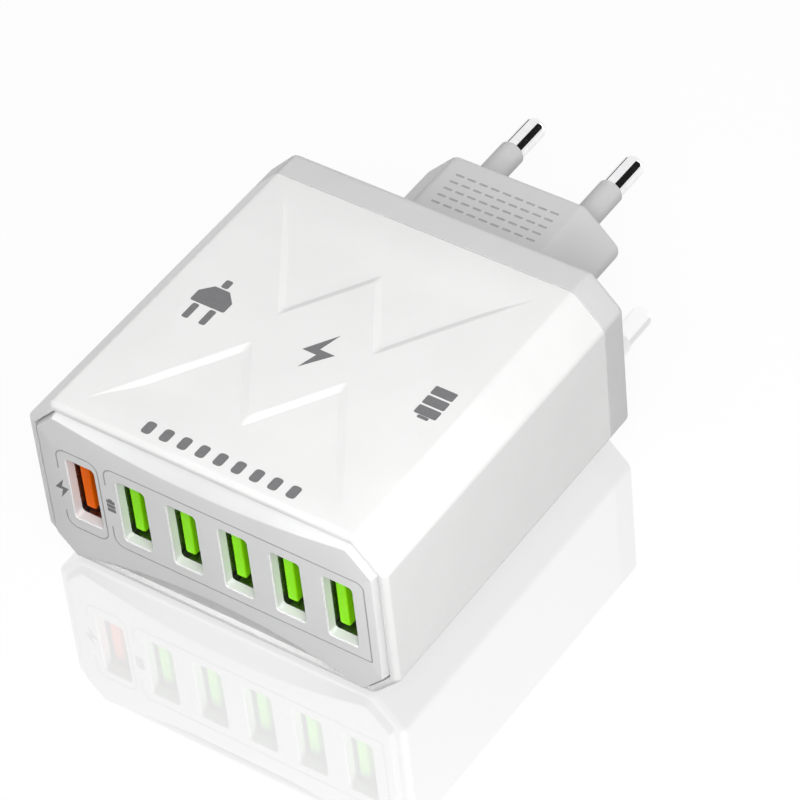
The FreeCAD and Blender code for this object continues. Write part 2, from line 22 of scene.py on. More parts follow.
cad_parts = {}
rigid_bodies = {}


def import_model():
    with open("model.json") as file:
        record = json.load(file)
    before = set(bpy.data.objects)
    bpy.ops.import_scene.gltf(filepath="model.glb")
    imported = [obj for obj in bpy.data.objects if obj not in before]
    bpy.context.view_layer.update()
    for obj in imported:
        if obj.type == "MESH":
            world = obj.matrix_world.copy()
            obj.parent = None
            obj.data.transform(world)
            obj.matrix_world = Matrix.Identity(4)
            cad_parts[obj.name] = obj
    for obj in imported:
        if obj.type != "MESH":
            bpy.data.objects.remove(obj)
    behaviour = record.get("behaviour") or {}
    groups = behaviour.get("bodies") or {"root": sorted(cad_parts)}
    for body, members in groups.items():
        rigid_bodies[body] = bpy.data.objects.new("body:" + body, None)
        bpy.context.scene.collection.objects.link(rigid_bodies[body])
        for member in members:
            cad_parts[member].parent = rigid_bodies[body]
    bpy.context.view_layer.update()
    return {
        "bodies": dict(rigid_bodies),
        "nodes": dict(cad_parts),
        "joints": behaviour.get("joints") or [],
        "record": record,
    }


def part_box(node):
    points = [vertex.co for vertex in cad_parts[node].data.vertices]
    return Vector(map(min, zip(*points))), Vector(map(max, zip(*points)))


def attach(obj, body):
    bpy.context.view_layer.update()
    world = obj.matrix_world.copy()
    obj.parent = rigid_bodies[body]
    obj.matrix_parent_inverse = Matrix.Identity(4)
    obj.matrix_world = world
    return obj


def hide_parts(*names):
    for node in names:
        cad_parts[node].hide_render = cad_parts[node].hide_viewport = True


LOG = logging.getLogger("charger")
MM = 0.001
BODY = "root"
# Most of a side that the round at one of its ends may take up, and the points in such a round
CORNER_SHARE = 0.45
SOFT_POINTS = 3

Material = bpy.types.Material
Object = bpy.types.Object
Socket = bpy.types.NodeSocket
Pair = tuple[float, float]
Point = tuple[float, float, float]
Colour = tuple[float, float, float]


def metres(x: float, y: float, z: float) -> Vector:
    """Point in metres from millimetres."""
    return Vector((x, y, z)) * MM


def box_mm(node: str) -> tuple[Vector, Vector]:
    """Lowest and highest corner of a solid, in millimetres."""
    low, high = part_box(node)
    return low / MM, high / MM


class Side(IntEnum):
    """Sides of the case's eight-sided section, each by the number of its first corner."""

    BASE = 0
    TOP = 4
    LEFT = 6

    def start(self, steps: int) -> int:
        """Index of the side's first point where each corner is an arc of so many chords."""
        return (self + 1) * (steps + 1) - 1


class Slot(Enum):
    """Material slots of the record, named for the finishes of the new pieces."""

    HOUSING = "housing_white"
    PANEL = "panel_grey"
    COVER = "cover_grey"
    PIN = "pin_metal"
    ORANGE = "tongue_orange"
    GREEN = "tongue_green"
    CONTACT = "contact_gold"


class Mark(Enum):
    """Plain signs that are printed on the charger."""

    PLUG = "plug"
    BOLT = "bolt"
    BATTERY = "battery"


# Outlines and profiles in a plane


def octagon(half: float, low: float, high: float, cut_x: float, cut_z: float) -> list[Pair]:
    """Corners of a rectangle with its corners cut off.

    Args:
        half: Half of the width.
        low: Level of the base.
        high: Level of the top.
        cut_x: Length of each cut along the width.
        cut_z: Length of each cut along the height.

    Returns:
        Eight corners, anticlockwise from the left end of the base.
    """
    return [
        (-half + cut_x, low), (half - cut_x, low), (half, low + cut_z), (half, high - cut_z),
        (half - cut_x, high), (-half + cut_x, high), (-half, high - cut_z), (-half, low + cut_z),
    ]


def rectangle(x: float, z: float, width: float, height: float) -> list[Pair]:
    """Corners of a rectangle around its middle, anticlockwise."""
    right, up = width / 2, height / 2
    return [(x - right, z - up), (x + right, z - up), (x + right, z + up), (x - right, z + up)]


def for_each(value: float | Sequence[float], count: int) -> Sequence[float]:
    """One value for each of a count of corners or sides, from a common one or from their own."""
    return [value] * count if isinstance(value, (int, float)) else value


def inset(corners: Sequence[Pair], distance: float | Sequence[float]) -> list[Pair]:
    """Moves each side of an anticlockwise convex outline inwards.

    Args:
        corners: Corners of the outline.
        distance: How far every side moves, or one for each; less than nothing moves it outwards.

    Returns:
        The corners of the moved outline.
    """
    lines = []
    steps = for_each(distance, len(corners))
    for index, (x0, z0) in enumerate(corners):
        x1, z1 = corners[(index + 1) % len(corners)]
        run = math.hypot(x1 - x0, z1 - z0)
        a, b = (z0 - z1) / run, (x1 - x0) / run
        lines.append((a, b, a * x0 + b * z0 + steps[index]))
    moved = []
    for index, (c, d, q) in enumerate(lines):
        a, b, p = lines[index - 1]
        det = a * d - b * c
        moved.append(((p * d - b * q) / det, (a * q - p * c) / det))
    return moved


def rounded(corners: Sequence[Pair], radius: float | Sequence[float], steps: int) -> list[Pair]:
    """Replaces each corner of an anticlockwise outline by an arc.

    Args:
        corners: Corners of the outline.
        radius: Radius of every arc, or one for each corner.
        steps: Chords in each arc.

    Returns:
        Points of the rounded outline, steps + 1 for each corner.
    """
    points = []
    radii = for_each(radius, len(corners))
    for index, (corner, bend) in enumerate(zip(corners, radii)):
        here = Vector(corner)
        back = (Vector(corners[index - 1]) - here).normalized()
        ahead = (Vector(corners[(index + 1) % len(corners)]) - here).normalized()
        half = back.angle(ahead) / 2
        centre = here + (back + ahead).normalized() * (bend / math.sin(half))
        first = here + back * (bend / math.tan(half)) - centre
        turn = math.atan2(first.y, first.x)
        for step in range(steps + 1):
            angle = turn + (math.pi - 2 * half) * step / steps
            points.append((centre.x + bend * math.cos(angle), centre.y + bend * math.sin(angle)))
    return points


def softened(profile: Sequence[Pair], size: float, closed: bool) -> list[Pair]:
    """Takes the sharpness off the corners of a profile.

    Args:
        profile: Points of the profile.
        size: Length along each side that a corner's round takes up, where the side is long enough.
        closed: Whether the last point joins the first.

    Returns:
        The profile with three points in place of each corner.
    """
    points = [Vector(point) for point in profile]
    soft = []
    for index, here in enumerate(points):
        if not closed and index in (0, len(points) - 1):
            soft.append(tuple(here))
            continue
        back = points[index - 1] - here
        ahead = points[(index + 1) % len(points)] - here
        start = here + back.normalized() * min(size, CORNER_SHARE * back.length)
        end = here + ahead.normalized() * min(size, CORNER_SHARE * ahead.length)
        soft += [tuple(start), tuple((start + 2 * here + end) / 4), tuple(end)]
    return soft


def part_way(one: Sequence[Pair], two: Sequence[Pair], share: float) -> list[Pair]:
    """Outline that lies a share of the way from one outline to another of equal count."""
    return [tuple(Vector(here).lerp(Vector(there), share)) for here, there in zip(one, two)]


def spread(start: float, stop: float, steps: int) -> list[float]:
    """Equally spaced values from start to stop, both included."""
    return [start + (stop - start) * step / steps for step in range(steps + 1)]


def soft_least(one: float, two: float, reach: float) -> float:
    """The lesser of two values, with a round change from one to the other over a reach."""
    share = max(reach - abs(one - two), 0.0) / reach
    return min(one, two) - share * share * reach / 4


def quarter_round(radius: float, steps: int) -> list[Pair]:
    """Points of a rounded edge, as how far each has come in and how far along it lies."""
    angles = spread(0.0, math.pi / 2, steps)
    return [(radius * (1 - math.cos(angle)), radius * math.sin(angle)) for angle in angles]


# Skins


class Skin:
    """A closed surface made of rings of vertices and the bands of faces between them."""

    SHARP_ANGLE = 42.0
    FLAT_WEIGHT = 70

    def __init__(self) -> None:
        """Starts with an empty mesh."""
        self.mesh: BMesh = bmesh.new()

    def vertex(self, x: float, y: float, z: float) -> BMVert:
        """Adds one vertex, in millimetres."""
        return self.mesh.verts.new(metres(x, y, z))

    def ring(self, outline: Iterable[Pair], y: float) -> list[BMVert]:
        """Adds the vertices of an outline, given as X and Z, at a depth."""
        return [self.vertex(x, y, z) for x, z in outline]

    def band(self, one: list[BMVert], two: list[BMVert], gap: int | None = None) -> None:
        """Joins two rings of equal count by quads.

        Args:
            one: First ring.
            two: Second ring.
            gap: Index of the one quad that is left open, if any.
        """
        for index in range(len(one)):
            after = (index + 1) % len(one)
            if index != gap:
                self.mesh.faces.new((one[index], one[after], two[after], two[index]))

    def bands(self, rings: Sequence[list[BMVert]]) -> None:
        """Joins each ring to the one after it."""
        for one, two in zip(rings, rings[1:]):
            self.band(one, two)

    def cap(self, ring: list[BMVert]) -> None:
        """Closes a ring by one flat face."""
        self.mesh.faces.new(ring)

    def tube(self, rings: Sequence[list[BMVert]]) -> None:
        """Joins rings in order and closes the first and the last of them."""
        self.bands(rings)
        self.cap(rings[0])
        self.cap(rings[-1])

    def plate(self, outer: list[BMVert], holes: Sequence[list[BMVert]]) -> None:
        """Fills the flat face between an outer ring and the rings of its holes."""
        edges = []
        for ring in (outer, *holes):
            for index, vertex in enumerate(ring):
                after = ring[(index + 1) % len(ring)]
                edges.append(self.mesh.edges.get((vertex, after)) or self.mesh.edges.new((vertex, after)))
        bmesh.ops.triangle_fill(self.mesh, use_beauty=True, use_dissolve=False, edges=edges)

    def slab(self, outline: Sequence[Pair], low: float, high: float) -> None:
        """Adds a flat piece on an outline of X and Y, from a low level to a high one."""
        self.tube([[self.vertex(x, y, z) for x, y in outline] for z in (low, high)])

    def to_object(self, name: str) -> Object:
        """Makes a shaded object of the skin.

        Args:
            name: Name of the object.

        Returns:
            The object, linked to the scene, with its faces pointing outwards.
        """
        bmesh.ops.recalc_face_normals(self.mesh, faces=self.mesh.faces[:])
        data = bpy.data.meshes.new(name)
        self.mesh.to_mesh(data)
        self.mesh.free()
        data.shade_smooth()
        data.set_sharp_from_angle(angle=math.radians(self.SHARP_ANGLE))
        made = in_scene(name, data)
        weights = made.modifiers.new("flat_faces_lead", "WEIGHTED_NORMAL")
        weights.mode = "FACE_AREA_WITH_ANGLE"
        weights.weight = self.FLAT_WEIGHT
        weights.keep_sharp = True
        return plain(made)


def in_scene(name: str, data: bpy.types.ID) -> Object:
    """Makes an object of some data and links it to the scene."""
    made = bpy.data.objects.new(name, data)
    bpy.context.scene.collection.objects.link(made)
    return made


def plain(made: Object) -> Object:
    """Turns what an object's modifiers show into its own mesh, and removes them.

    Args:
        made: The object with live modifiers.

    Returns:
        The same object.
    """
    graph = bpy.context.evaluated_depsgraph_get()
    shown = bpy.data.meshes.new_from_object(made.evaluated_get(graph), depsgraph=graph)
    made.modifiers.clear()
    before = made.data
    made.data = shown
    bpy.data.meshes.remove(before)
    shown.name = made.name
    return made


def place(made: Object, material: Material, slot: Slot, nodes: Sequence[str] = ()) -> None:
    """Dresses a finished piece and sets it on the charger.

    Args:
        made: The piece, with its place in its mesh.
        material: Its finish.
        slot: The record's slot for that finish; not used.
        nodes: The solids that it stands for, if any.
    """
    made.data.materials.clear()
    made.data.materials.append(material)
    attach(made, BODY)
    if nodes:
        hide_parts(*nodes)
    LOG.info("%s: %d faces", made.name, len(made.data.polygons))


# Nodes and finishes


def grey(level: float) -> tuple[float, ...]:
    """A plain grey with full cover."""
    return (level, level, level, 1.0)


def shade(colour: Colour, factor: float) -> Colour:
    """A colour made lighter or darker by a factor."""
    return tuple(min(1.0, part * factor) for part in colour)


class Nodes:
    """A node tree, with short calls to add nodes and to fill their inputs."""

    def __init__(self, tree: bpy.types.NodeTree) -> None:
        """Takes the tree to work on."""
        self.tree = tree

    @classmethod
    def cleared(cls, owner: Material | bpy.types.World) -> Nodes:
        """Gives a material or a world an empty tree."""
        owner.use_nodes = True
        owner.node_tree.nodes.clear()
        return cls(owner.node_tree)

    def give(self, target: Socket, value: object) -> None:
        """Links an input to a socket or sets its value; None leaves it as it is."""
        if isinstance(value, Socket):
            self.tree.links.new(value, target)
        elif value is not None:
            target.default_value = value

    def fill(self, node: bpy.types.Node, **values: object) -> None:
        """Gives a node's inputs their values or sockets, by their names with _ for a space."""
        for name, value in values.items():
            self.give(node.inputs[name.replace("_", " ")], value)

    def add(self, kind: str, **values: object) -> bpy.types.Node:
        """Adds a node.

        Args:
            kind: Blender's name for the type of node.
            **values: What its inputs get, as for fill.

        Returns:
            The new node.
        """
        node = self.tree.nodes.new(kind)
        self.fill(node, **values)
        return node

    def mix(self, share: float | Socket, under: Socket, over: Socket) -> Socket:
        """Mixes two shaders.

        Args:
            share: How much of the second one shows.
            under: First shader.
            over: Second shader.

        Returns:
            The mixed shader.
        """
        node = self.add("ShaderNodeMixShader", Fac=share)
        self.give(node.inputs[1], under)
        self.give(node.inputs[2], over)
        return node.outputs["Shader"]

    def seen(self) -> Socket:
        """1 for a ray of the camera, of a reflection or through clear plastic, 0 for any other."""
        ray = self.add("ShaderNodeLightPath").outputs
        total = ray["Is Camera Ray"]
        for name in ("Is Glossy Ray", "Is Transmission Ray"):
            most = self.add("ShaderNodeMath")
            most.operation = "MAXIMUM"
            self.give(most.inputs[0], total)
            self.give(most.inputs[1], ray[name])
            total = most.outputs["Value"]
        return total


class Shader(Nodes):
    """The nodes of a piece's material, round its principled surface."""

    NOISE_RANGE = (0.3, 0.7)
    FINE_DETAIL = 2.0

    def __init__(self, name: str) -> None:
        """Starts a material whose only nodes are its surface, its output and its coordinates."""
        self.material = bpy.data.materials.new(name)
        self.material.use_nodes = True
        super().__init__(self.material.node_tree)
        self.surface = self.tree.nodes["Principled BSDF"]
        self.place = self.add("ShaderNodeTexCoord").outputs["Object"]

    def stretched(self, scale: Point) -> Socket:
        """Object coordinates with another scale on each axis."""
        return self.add("ShaderNodeMapping", Scale=scale, Vector=self.place).outputs["Vector"]

    def noise(self, size: float, detail: float = FINE_DETAIL, where: Socket | None = None) -> Socket:
        """Adds a noise pattern.

        Args:
            size: Size of its features, in millimetres.
            detail: Octaves of finer noise.
            where: Coordinates that it reads, or else the piece's own.

        Returns:
            The noise's value.
        """
        scale = 1 / (size * MM)
        node = self.add("ShaderNodeTexNoise", Scale=scale, Detail=detail, Vector=where or self.place)
        return node.outputs["Fac"]

    def between(self, value: Socket, low: float, high: float) -> Socket:
        """Maps the middle of a noise's range onto a low and a high value."""
        start, stop = self.NOISE_RANGE
        ends = {"From_Min": start, "From_Max": stop, "To_Min": low, "To_Max": high}
        return self.add("ShaderNodeMapRange", Value=value, **ends).outputs["Result"]

    def blend(self, value: Socket, *colours: Colour) -> Socket:
        """Colour ramp from one colour to another along the middle of a noise's range."""
        ramp = self.add("ShaderNodeValToRGB", Fac=value)
        for stop, position, colour in zip(ramp.color_ramp.elements, self.NOISE_RANGE, colours):
            stop.position = position
            stop.color = (*colour, 1)
        return ramp.outputs["Color"]

    def bump(self, height: Socket, depth: float, under: Socket | None = None) -> Socket:
        """Adds relief to the surface normal.

        Args:
            height: Pattern of the relief.
            depth: Its depth, in millimetres.
            under: Normal that it lies on, if there is one already.

        Returns:
            The new normal.
        """
        node = self.add("ShaderNodeBump", Strength=1.0, Distance=depth * MM, Height=height, Normal=under)
        return node.outputs["Normal"]


Patterns = tuple[Socket, Socket, Socket | None]


@dataclass(frozen=True)
class Finish(ABC):
    """How a surface looks: a colour and a roughness, which patterns vary a little."""

    name: str
    colour: Colour
    roughness: float = 0.3
    spread: float = 0.05
    tone_depth: float = 0.02
    specular: float = 0.5
    metallic: float = 0.0

    @abstractmethod
    def patterns(self, shader: Shader) -> Patterns:
        """Adds the patterns of the tone and the roughness, and the surface normal, if it has relief."""

    def material(self) -> Material:
        """Builds the finish's material."""
        shader = Shader(self.name)
        tone, grain, normal = self.patterns(shader)
        tones = [shade(self.colour, 1 + way * self.tone_depth) for way in (-1, 1)]
        shader.fill(
            shader.surface,
            Base_Color=shader.blend(tone, *tones),
            Roughness=shader.between(grain, self.roughness - self.spread, self.roughness + self.spread),
            Metallic=self.metallic,
            Specular_IOR_Level=self.specular,
            Normal=normal,
        )
        return shader.material


@dataclass(frozen=True)
class Moulded(Finish):
    """Moulded plastic: a faint ripple from the mould, a fine grain and slight clouds of tone."""

    cloud: float = 14.0
    cloud_detail: float = 3.0
    ripple: float = 2.4
    ripple_detail: float = 1.0
    ripple_depth: float = 0.0015
    grain: float = 0.16
    grain_depth: float = 0.0012

    def patterns(self, shader: Shader) -> Patterns:
        """Clouds for the tone, and grain that lies on the ripple."""
        grain = shader.noise(self.grain)
        ripple = shader.bump(shader.noise(self.ripple, self.ripple_detail), self.ripple_depth)
        clouds = shader.noise(self.cloud, self.cloud_detail)
        return clouds, grain, shader.bump(grain, self.grain_depth, ripple)


@dataclass(frozen=True)
class Metal(Finish):
    """Bare or plated metal with fine lines in the direction that it was worked."""

    roughness: float = 0.2
    spread: float = 0.06
    tone_depth: float = 0.05
    metallic: float = 1.0
    lines: Point = (1.0, 1.0, 1.0)
    line: float = 0.5
    line_depth: float = 0.0006

    def patterns(self, shader: Shader) -> Patterns:
        """The fine lines, for everything."""
        lines = shader.noise(self.line, where=shader.stretched(self.lines))
        return lines, lines, shader.bump(lines, self.line_depth)


@dataclass(frozen=True)
class Ink(Finish):
    """Screen-printed ink: matt, and a little uneven in how it covers."""

    roughness: float = 0.55
    spread: float = 0.08
    tone_depth: float = 0.09
    patch: float = 0.7
    patch_detail: float = 4.0

    def patterns(self, shader: Shader) -> Patterns:
        """Patches of thicker and thinner ink, without relief."""
        patches = shader.noise(self.patch, self.patch_detail)
        return patches, patches, None


@dataclass(frozen=True)
class Laminate(Finish):
    """Circuit board: glass weave, darker where it is raised, showing through the solder mask."""

    roughness: float = 0.375
    spread: float = 0.075
    tone_depth: float = -0.12
    thread: float = 0.5
    thread_depth: float = 0.004
    cloud: float = 3.0

    def patterns(self, shader: Shader) -> Patterns:
        """The weave for the tone and the relief, and clouds for the roughness."""
        checker = shader.add("ShaderNodeTexChecker", Scale=1 / (self.thread * MM), Vector=shader.place)
        weave = checker.outputs["Fac"]
        return weave, shader.noise(self.cloud), shader.bump(weave, self.thread_depth)


# How far a metal's lines are drawn out along one axis
ALONG_Y = (1.0, 0.1, 1.0)
ALONG_Z = (1.0, 1.0, 0.1)

WHITE_SHELL = Moulded("white_shell", (0.86, 0.86, 0.855), roughness=0.32)
PORT_PANEL = Moulded("port_panel", (0.84, 0.84, 0.842), roughness=0.34, cloud=9.0, specular=0.25)
GREY_COVER = Moulded("grey_cover", (0.66, 0.66, 0.662), roughness=0.36)
GREY_SLEEVE = Moulded("grey_sleeve", (0.62, 0.62, 0.622), roughness=0.4, cloud=4.0)
PIN_PLATING = Metal(
    "pin_plating", (0.86, 0.86, 0.87), roughness=0.07, spread=0.02, lines=(0.15, 1.0, 0.15), line=0.3,
)
ORANGE_TONGUE = Moulded("orange_tongue", (0.98, 0.155, 0.001), roughness=0.3, cloud=3.0, specular=0.08)
GREEN_TONGUE = Moulded("green_tongue", (0.32, 0.97, 0.005), roughness=0.3, cloud=3.0, specular=0.2)
GOLD_CONTACT = Metal("gold_contact", (0.62, 0.40, 0.13), roughness=0.3, lines=ALONG_Y)
GREY_INK = Ink("grey_ink", (0.17, 0.17, 0.175))
LINE_INK = Ink("line_ink", (0.40, 0.40, 0.405))

INNER_FINISHES: dict[str, Finish] = {
    # Socket shell steel, darker than bare steel: its colour holds painted shade for the dark inside of the
    # sockets
    "socket_steel": Metal("socket_steel", (0.26, 0.26, 0.27), roughness=0.3, lines=ALONG_Y),
    "board_green": Laminate("board_laminate", (0.03, 0.16, 0.06)),
    "lead_brass": Metal("lead_brass", (0.72, 0.50, 0.20), roughness=0.32, lines=ALONG_Y),
    "ferrite": Moulded("ground_ferrite", (0.055, 0.055, 0.06), roughness=0.6, grain_depth=0.01),
    "bobbin_black": Moulded("bobbin_moulding", (0.02, 0.02, 0.02), roughness=0.5),
    "winding_tape": Moulded("winding_tape", (0.70, 0.46, 0.06), roughness=0.35, ripple_depth=0.02),
    "can_sleeve": Moulded("can_sleeve", (0.03, 0.05, 0.16), roughness=0.3),
    "can_bare": Metal("can_aluminium", (0.78, 0.78, 0.79), roughness=0.28, lines=ALONG_Z),
    "sink_aluminium": Metal("sink_aluminium", (0.72, 0.72, 0.74), roughness=0.34, lines=ALONG_Z),
    "package_black": Moulded("moulded_package", (0.018, 0.018, 0.018), roughness=0.55, grain_depth=0.006),
    "package_white": Moulded("pale_package", (0.75, 0.75, 0.70), roughness=0.5),
    "film_yellow": Moulded("film_box", (0.70, 0.47, 0.04), roughness=0.4),
    "disc_blue": Moulded("dipped_disc", (0.04, 0.12, 0.42), roughness=0.25, ripple_depth=0.01),
    "copper": Metal("enamelled_wire", (0.70, 0.32, 0.13), roughness=0.3, lines=(1.0, 0.2, 1.0)),
    "fuse_brown": Moulded("fuse_moulding", (0.14, 0.06, 0.02), roughness=0.45),
}


# Repeats


class RowTree:
    """Geometry nodes that set copies of one piece in rows and columns."""

    INPUTS = (
        ("Piece", "NodeSocketObject"), ("Finish", "NodeSocketMaterial"), ("Start", "NodeSocketVector"),
        ("Columns", "NodeSocketInt"), ("Column Step", "NodeSocketVector"),
        ("Rows", "NodeSocketInt"), ("Row Step", "NodeSocketVector"),
    )

    def __init__(self) -> None:
        """Builds the tree once, with a named input for each size."""
        self.tree = bpy.data.node_groups.new("rows_of_a_piece", "GeometryNodeTree")
        face = self.tree.interface
        self.keys = {}
        for name, kind in self.INPUTS:
            self.keys[name] = face.new_socket(name, in_out="INPUT", socket_type=kind).identifier
        face.new_socket("Geometry", in_out="OUTPUT", socket_type="NodeSocketGeometry")
        nodes = Nodes(self.tree)
        given = nodes.add("NodeGroupInput").outputs
        columns = nodes.add(
            "GeometryNodeMeshLine", Count=given["Columns"], Start_Location=given["Start"],
            Offset=given["Column Step"],
        )
        rows = nodes.add("GeometryNodeMeshLine", Count=given["Rows"], Offset=given["Row Step"])
        piece = nodes.add("GeometryNodeObjectInfo", Object=given["Piece"], As_Instance=True)
        shown = columns.outputs["Mesh"]
        for instance in (rows.outputs["Mesh"], piece.outputs["Geometry"]):
            copies = nodes.add("GeometryNodeInstanceOnPoints", Points=shown, Instance=instance)
            real = nodes.add("GeometryNodeRealizeInstances", Geometry=copies.outputs["Instances"])
            shown = real.outputs["Geometry"]
        painted = nodes.add("GeometryNodeSetMaterial", Geometry=shown, Material=given["Finish"])
        nodes.add("NodeGroupOutput", Geometry=painted.outputs["Geometry"])

    def repeat(self, name: str, piece: Object, **inputs: object) -> Object:
        """Makes one plain mesh of all the copies.

        Args:
            name: Name of the new object.
            piece: The piece to copy, which is removed afterwards.
            **inputs: Values for the tree's inputs, with _ for a space.

        Returns:
            The new object.
        """
        made = in_scene(name, bpy.data.meshes.new(name))
        nodes = made.modifiers.new("rows", "NODES")
        nodes.node_group = self.tree
        values = {"Piece": piece, "Columns": 1, "Rows": 1}
        values.update({key.replace("_", " "): value for key, value in inputs.items()})
        for key, value in values.items():
            nodes[self.keys[key]] = value
        plain(made)
        bpy.data.objects.remove(piece)
        return made


# Sub-assemblies


@dataclass(frozen=True)
class Datum:
    """Levels and widths that the sub-assemblies share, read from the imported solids."""

    half_width: float
    top: float
    port_face: float
    rim: float
    ledge: float
    joint: float
    plug_end: float

    cut_x: float = 5.2
    cut_z: float = 5.5
    edge_radius: float = 1.6
    least_radius: float = 0.4
    corner_steps: int = 8
    wall: float = 2.2

    @classmethod
    def from_frame(cls) -> Datum:
        """Reads the levels from the solids' boxes."""
        housing_low, housing_high = box_mm("housing_shell")
        panel_low, panel_high = box_mm("front_panel")
        return cls(
            half_width=housing_high.x,
            top=housing_high.z,
            port_face=panel_low.y,
            rim=housing_low.y,
            ledge=panel_high.y,
            joint=housing_high.y,
            plug_end=box_mm("rear_cover")[1].y,
        )

    def corners(self, inwards: float) -> list[Pair]:
        """Corners of the case's section, moved inwards."""
        whole = octagon(self.half_width, 0.0, self.top, self.cut_x, self.cut_z)
        return inset(whole, inwards) if inwards else whole

    def section(self, inwards: float) -> list[Pair]:
        """The case's section with round edges, moved inwards."""
        radius = max(self.edge_radius - inwards, self.least_radius)
        return rounded(self.corners(inwards), radius, self.corner_steps)


@dataclass(frozen=True)
class Relief:
    """Zigzag hollows in the top: two pairs whose apexes face each other across a plain band."""

    depth: float = 0.4
    wall_run: float = 1.2
    flat: float = 15.0
    length: float = 23.0
    half_width: float = 15.2
    pitch: float = 17.6
    band: float = 6.5
    middle: float = 30.25
    soft: float = 0.03
    column_step: float = 0.5
    wall_rows: int = 14
    floor_rows: int = 10

    @property
    def wall_fall(self) -> float:
        """How fast a wall falls along Y."""
        return self.depth / self.wall_run * self.half_width / math.hypot(self.half_width, self.length)

    def edge(self, x: float) -> float:
        """How far behind the apexes the zigzag edge lies at a place along the row."""
        return abs(abs(x) - self.pitch / 2) * self.length / self.half_width

    def floor(self, along: float) -> float:
        """Depth of the floor at a distance behind the apexes, eased at both ends of its rise."""
        share = min(max((self.length - along) / (self.length - self.flat), 0.0), 1.0)
        return self.depth * share * share * (3 - 2 * share)

    def depth_at(self, x: float, along: float) -> float:
        """Depth of the surface, with the edges of wall and floor rounded off.

        Args:
            x: Place along the row.
            along: Distance behind the apexes.

        Returns:
            How far the surface lies under the top.
        """
        wall = (along - self.edge(x)) * self.wall_fall
        shoulder = -soft_least(0.0, -wall, self.soft)
        return max(0.0, soft_least(shoulder, self.floor(along), self.soft))

    def columns(self) -> list[float]:
        """Places of the grid's columns along the row, with one on each crease."""
        apex, end = self.pitch / 2, self.pitch / 2 + self.half_width
        creases = (-end, -apex, 0.0, apex, end)
        places = [-end]
        for start, stop in zip(creases, creases[1:]):
            places += spread(start, stop, math.ceil((stop - start) / self.column_step))[1:]
        return places

    def rows(self, x: float) -> list[float]:
        """Distances behind the apexes of one column's vertices."""
        reach = self.soft / self.wall_fall
        edge = self.edge(x)
        near = spread(edge - reach, edge + self.depth / self.wall_fall + reach, self.wall_rows)
        far = spread(min(near[-1], self.length), self.length, self.floor_rows)[1:]
        return [min(along, self.length) for along in near + far]


@dataclass(frozen=True)
class Housing:
    """White sleeve: outer skin with the relief, the front rim, the ledge and the inner wall."""

    datum: Datum
    relief: Relief = field(default_factory=Relief)
    rim_chamfer: float = 0.7
    rim_width: float = 1.5
    ledge_width: float = 1.5
    ledge_length: float = 1.5
    lip_length: float = 3.1
    lip_inset: float = 1.1
    edge_soft: float = 0.22

    def profile(self) -> list[Pair]:
        """The sleeve's wall in section, as inset and depth, from the joint forwards and back inside."""
        datum = self.datum
        window = self.rim_width + self.ledge_width
        ledge_back = datum.ledge + self.ledge_length
        recess = datum.joint - self.lip_length
        return [
            (0.0, datum.joint), (0.0, datum.rim + self.rim_chamfer), (self.rim_chamfer, datum.rim),
            (self.rim_width, datum.rim), (self.rim_width, datum.ledge), (window, datum.ledge),
            (window, ledge_back), (datum.wall, ledge_back), (datum.wall, recess),
            (self.lip_inset, recess), (self.lip_inset, datum.joint),
        ]

    def build(self, material: Material) -> None:
        """Builds the housing and sets it on the charger."""
        skin = Skin()
        points = softened(self.profile(), self.edge_soft, closed=True)
        rings = [skin.ring(self.datum.section(inwards), y) for inwards, y in points]
        rear = SOFT_POINTS - 1
        right = Side.TOP.start(self.datum.corner_steps)
        for index, ring in enumerate(rings):
            skin.band(ring, rings[(index + 1) % len(rings)], gap=right if index == rear else None)
        back, fore = rings[rear], rings[rear + 1]
        flat = [back[right + 1], back[right], fore[right], fore[right + 1]]
        skin.plate(flat, [self.add_hollows(skin, way) for way in (-1, 1)])
        place(skin.to_object("housing_skin"), material, Slot.HOUSING, ["housing_shell"])

    def add_hollows(self, skin: Skin, way: int) -> list[BMVert]:
        """Adds one pair of hollows as a grid that follows their zigzag edge.

        Args:
            skin: The housing's skin.
            way: -1 for the pair that opens to the front, 1 for the pair that opens to the back.

        Returns:
            The grid's border, which lies in the top.
        """
        relief = self.relief
        apex_y = self.datum.port_face + relief.middle + way * relief.band / 2
        columns = []
        for x in relief.columns():
            column: list[BMVert] = []
            rows = relief.rows(x)
            for before, along in zip([None, *rows], rows):
                level = self.datum.top - relief.depth_at(x, along)
                column.append(column[-1] if along == before else skin.vertex(x, apex_y + way * along, level))
            columns.append(column)
        for one, two in zip(columns, columns[1:]):
            for row in range(len(one) - 1):
                corners = dict.fromkeys((one[row], two[row], two[row + 1], one[row + 1]))
                if len(corners) > 2:
                    skin.mesh.faces.new(corners)
        apexes = [column[0] for column in columns]
        base = [column[-1] for column in reversed(columns)]
        return list(dict.fromkeys([*apexes, *columns[-1], *base, *reversed(columns[0])]))


